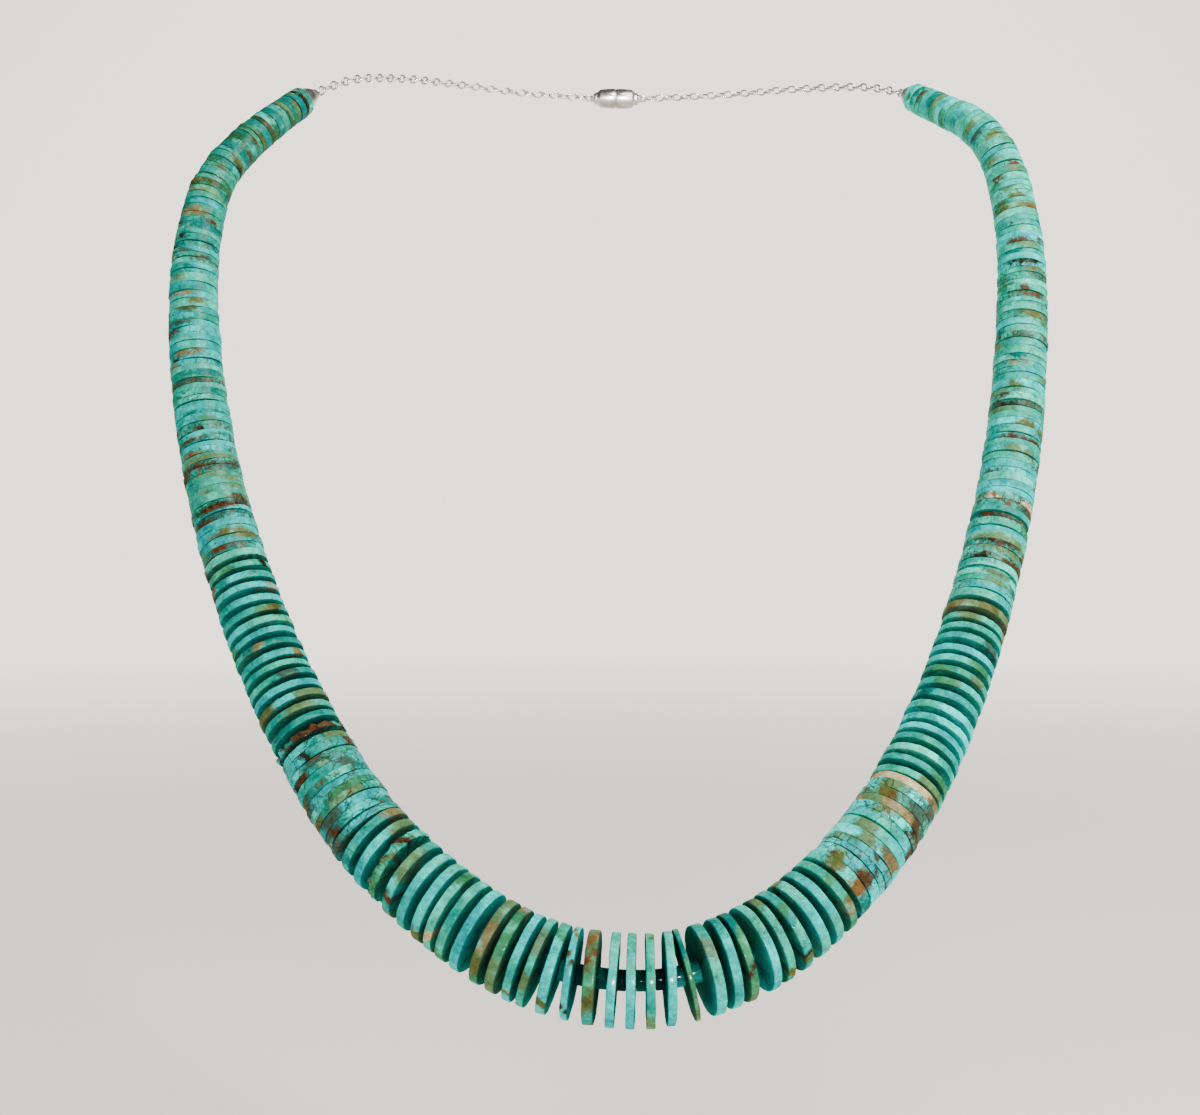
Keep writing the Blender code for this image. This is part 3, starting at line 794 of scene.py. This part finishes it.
RIGHT_MID = [
    ("sea", 0.15, ("moss", 110, 30)),
    ("teal", 0.10, ("green", 120, 25)),
    ("pale", 0.10, ("teal", 120, 25)),
    ("teal", 0.10, ("sea", 70, 25)),
    ("cyan", 0.05, ("blue", 100, 30)),
    ("cyan", 0.10, ("teal", 40, 25)),
    ("cyan", 0.10, ("sea", 40, 25)),
    ("teal", 0.15, ("blue", 80, 15), ("deep", 30, 14)),
    ("teal", 0.10, ("green", 60, 25)),
    ("sea", 0.20, ("moss", 110, 14), ("green", 40, 20)),
    ("teal", 0.15, ("green", 110, 25)),
    ("blue", 0.10, ("cyan", 60, 25)),
    ("teal", 0.15, ("grey", 120, 20)),
    ("teal", 0.15, ("sea", 90, 25)),
    ("sea", 0.20, ("moss", 60, 24), ("tan", 150, 14)),
    ("moss", 0.10, ("tan", 30, 28), ("olive", 90, 20), ("tan", 155, 22)),
]
MID_SHARE = 0.56  # what a disc takes of the room from one disc to the next
LEFT_UPPER = lucky_stones(80, LEFT_MARKS, 11)
RIGHT_UPPER = lucky_stones(90, RIGHT_MARKS, 12)
tight_master = modelled_disc(sides=48, radius=5.5 * MM, thickness=1.3 * MM, edge=0.06 * MM, edge_cuts=1)
mid_master = modelled_disc(sides=48, radius=5.5 * MM, thickness=1.3 * MM, edge=0.16 * MM, edge_cuts=2)
small_master = modelled_disc(sides=24, radius=4.0 * MM, thickness=1.2 * MM, edge=0.05 * MM, edge_cuts=1)
# Each string's value is painted light: darker strings on the left, lighter on the right, as the light falls
# from the right.
string_of_discs(
    "heishi_left_block", LEFT_BLOCK, tight_master, uneven=0.25, grime=0.35, value=0.75, seed=1
)
string_of_discs(
    "heishi_right_block", RIGHT_BLOCK, tight_master, uneven=0.25, grime=0.45, value=1.72, seed=2
)
string_of_discs(
    "heishi_left_mid", LEFT_MID, mid_master, uneven=0.1, grime=0.2, value=0.9, seed=3, share=MID_SHARE
)
string_of_discs(
    "heishi_right_mid", RIGHT_MID, mid_master, uneven=0.1, grime=0.15, value=1.34, seed=4, share=MID_SHARE
)
string_of_discs(
    "heishi_left_upper", LEFT_UPPER, small_master, uneven=0.3, grime=0.9, value=0.8, seed=5, neck_shade=0.62
)
string_of_discs(
    "heishi_right_upper", RIGHT_UPPER, small_master, uneven=0.3, grime=0.8, value=1.2, seed=6
)
for master in (tight_master, mid_master, small_master):
    bpy.data.objects.remove(master)

# Silver ends, chain and clasp
# The strand ends in two small silver cones. A fine cable chain goes round the back of the neck to a
# plain barrel clasp at the nape.
SILVER = (0.62, 0.60, 0.56, 1.0)
TARNISH = (0.16, 0.14, 0.12, 1.0)
silver_finish, place = new_finish("worn silver", 0.28, 1.0, (0.60, 0.57, 0.53))
tarnish = place.noise(420.0, 5.0, 0.65).step(0.42, 0.72)
(tarnish * 0.8).tinted(SILVER, TARNISH).into("Base Color")
(0.2 + tarnish * 0.3 + place.noise(6000.0, 2.0) * 0.12).into("Roughness")
LINK_WIRE = 0.19 * MM
LINK_HALF_WIDTH = 0.85 * MM
LINK_STRETCH = 1.5
LINK_STEP = 1.95 * MM
SILVER_EDGE = 0.08 * MM


def silver(piece, node):
    piece.data.materials.append(silver_finish)
    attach(piece, "root")
    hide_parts(node)


def chain(side):
    """Small oval links, each a quarter turn from the last, along the solid of the same name."""
    along, _ = along_and_out(f"chain_{side}")
    start, end = along.min(), along.max()
    if end - start > loop_length / 2:
        along = along % loop_length
        start, end = along.min(), along.max()
    count = int((end - start) / LINK_STEP)
    links = []
    for number in range(count + 1):
        link = bpy.data.objects.new("link", link_master.data.copy())
        bpy.context.collection.objects.link(link)
        quarter = Matrix.Rotation(math.pi / 4 + math.pi / 2 * (number % 2), 4, "Z")
        link.data.transform(on_string(start + (end - start) * number / count) @ quarter)
        links.append(link)
    silver(joined(links, f"links_{side}"), f"chain_{side}")


bpy.ops.object.select_all(action="DESELECT")
bpy.ops.mesh.primitive_torus_add(
    major_segments=18, minor_segments=6, major_radius=LINK_HALF_WIDTH - LINK_WIRE, minor_radius=LINK_WIRE
)
link_master = bpy.context.object
long_oval = Matrix.Diagonal((LINK_STRETCH, 1.0, 1.0, 1.0))
link_master.data.transform(Matrix.Rotation(math.pi / 2, 4, "Y") @ long_oval)
bpy.ops.object.shade_smooth()
chain("left")
chain("right")
bpy.data.objects.remove(link_master)


def turned_silver(name, node, middle, stations):
    """A round disc drawn out through a row of (distance along the string, radius), with soft edges."""
    start, first = stations[0]
    bpy.ops.object.select_all(action="DESELECT")
    bpy.ops.mesh.primitive_circle_add(vertices=40, radius=first, fill_type="NGON")
    piece = bpy.context.object
    bpy.ops.object.mode_set(mode="EDIT")
    for (here, narrow), (there, wide) in zip(stations, stations[1:]):
        grow = wide / narrow
        bpy.ops.mesh.extrude_region_move(TRANSFORM_OT_translate={"value": (0.0, 0.0, there - here)})
        bpy.ops.transform.resize(value=(grow, grow, 1.0), center_override=(0.0, 0.0, there - start))
    bpy.ops.mesh.select_all(action="SELECT")
    bpy.ops.mesh.normals_make_consistent(inside=False)
    bpy.ops.object.mode_set(mode="OBJECT")
    piece.data.transform(on_string(middle) @ Matrix.Translation((0.0, 0.0, start)))
    only(piece)
    soften = piece.modifiers.new("soften", "BEVEL")
    soften.width = SILVER_EDGE
    soften.segments = 2
    soften.limit_method = "ANGLE"
    bpy.ops.object.modifier_apply(modifier=soften.name)
    bpy.ops.object.shade_smooth_by_angle(angle=SHARP)
    piece.name = name
    silver(piece, node)


# Each row is a place from one end (-1) to the other (1), and a share of the widest radius.
CONE_SHAPE = [(-1.0, 1.0), (-0.8, 1.0), (-0.75, 0.86), (-0.1, 0.80), (0.5, 0.58), (0.8, 0.42), (1.0, 0.40)]
CLASP_SHAPE = [
    (-1.0, 0.30), (-0.86, 0.42), (-0.80, 0.62), (-0.72, 0.62), (-0.62, 0.90), (-0.3, 1.0), (-0.04, 1.0),
    (-0.02, 0.93), (0.02, 0.93), (0.04, 1.0), (0.3, 1.0), (0.62, 0.90), (0.72, 0.62), (0.80, 0.62),
    (0.86, 0.42), (1.0, 0.30),
]
for side in ("left", "right"):
    along, out = along_and_out(f"end_cone_{side}")
    middle = (along.min() + along.max()) / 2
    half = np.ptp(along) / 2
    way = 1.0 if side == "right" else -1.0
    stations = sorted((way * half * where, out.max() * size) for where, size in CONE_SHAPE)
    turned_silver(f"silver_cone_{side}", f"end_cone_{side}", middle, stations)

along, out = along_and_out("clasp")
along = along % loop_length
half = np.ptp(along) / 2
stations = [(half * where, out.max() * size) for where, size in CLASP_SHAPE]
turned_silver("barrel_clasp", "clasp", (along.min() + along.max()) / 2, stations)

# Floor, light and camera
# A plain pale floor lies under the necklace. A large soft light hangs at the upper right, a weaker one
# stands at the left, and a small lamp in front adds nothing but the little highlights on the rims. The
# camera looks level at the necklace from close in front.
BACKDROP = (1.0, 0.91, 0.82)
BACKDROP_LIGHT = 2.4
ROOM_LIGHT = 0.12
FLOOR_HEIGHT = -0.19
FLOOR_SIZE = 8.0
NEAR_GLOW = 0.36  # how much of the floor's own light shows under the necklace
FADE = (0.02, 1.1)  # how far out the floor starts and ends its fade into the backdrop
BACKDROP_EDGE = (0.70, 0.92)  # straight ahead is 1, and round about the backdrop gives way to a dim room
bpy.ops.object.select_all(action="DESELECT")
bpy.ops.mesh.primitive_plane_add(size=FLOOR_SIZE, location=(0.0, 0.0, FLOOR_HEIGHT))
floor = bpy.context.object
floor.name = "floor"
floor_finish, place = new_finish("pale floor", 0.9, colour=(0.86, 0.83, 0.80))
floor.data.materials.append(floor_finish)
tree = floor_finish.node_tree
reach = place.node("ShaderNodeVectorMath", {"operation": "LENGTH"}, {0: place}, 1)
fade = NEAR_GLOW + reach.step(*FADE) * (1.0 - NEAR_GLOW)
glow = tree.nodes.new("ShaderNodeEmission")
glow.inputs["Color"].default_value = (*BACKDROP, 1.0)
glow.inputs["Strength"].default_value = BACKDROP_LIGHT
both = tree.nodes.new("ShaderNodeMixShader")
tree.links.new(fade.socket, both.inputs[0])
tree.links.new(tree.nodes["Principled BSDF"].outputs[0], both.inputs[1])
tree.links.new(glow.outputs[0], both.inputs[2])
tree.links.new(both.outputs[0], tree.nodes["Material Output"].inputs[0])

world = bpy.data.worlds.new("studio")
bpy.context.scene.world = world
world.use_nodes = True
sky = world.node_tree.nodes["Background"]
sky.inputs["Color"].default_value = (*BACKDROP, 1.0)
looking = world.node_tree.nodes.new("ShaderNodeTexCoord")
away = Wire(world.node_tree, looking.outputs["Generated"])
ahead = away.node("ShaderNodeVectorMath", {"operation": "DOT_PRODUCT"}, {0: away, 1: (0.0, 1.0, 0.0)}, 1)
lit = ahead.step(*BACKDROP_EDGE) * (BACKDROP_LIGHT - ROOM_LIGHT) + ROOM_LIGHT
world.node_tree.links.new(lit.socket, sky.inputs["Strength"])


def soft_light(name, place, target, size, power, colour=(1.0, 1.0, 1.0)):
    lamp = bpy.data.lights.new(name, "AREA")
    lamp.size = size
    lamp.energy = power
    lamp.color = colour
    holder = bpy.data.objects.new(name, lamp)
    bpy.context.collection.objects.link(holder)
    holder.location = place
    holder.rotation_euler = (Vector(target) - Vector(place)).to_track_quat("-Z", "Y").to_euler()
    return holder


WARM_WHITE = (1.0, 0.98, 0.95)
soft_light("key", (0.20, -0.28, 0.22), (0.03, -0.09, -0.10), size=0.28, power=3.8, colour=WARM_WHITE)
soft_light("side", (-0.42, -0.42, -0.14), (0.0, -0.10, -0.11), size=0.30, power=0.7)
window = soft_light("window", (0.05, -0.64, -0.06), (0.0, -0.10, -0.13), size=0.05, power=12.0)
window.visible_diffuse = False

camera = bpy.data.objects.new("camera", bpy.data.cameras.new("camera"))
bpy.context.collection.objects.link(camera)
camera.location = (-0.0035, -0.325, -0.100)
camera.rotation_euler = (math.pi / 2, 0.0, 0.0)
camera.data.lens = 45.0
camera.data.sensor_width = 36.0
camera.data.clip_start = 0.01
bpy.context.scene.camera = camera
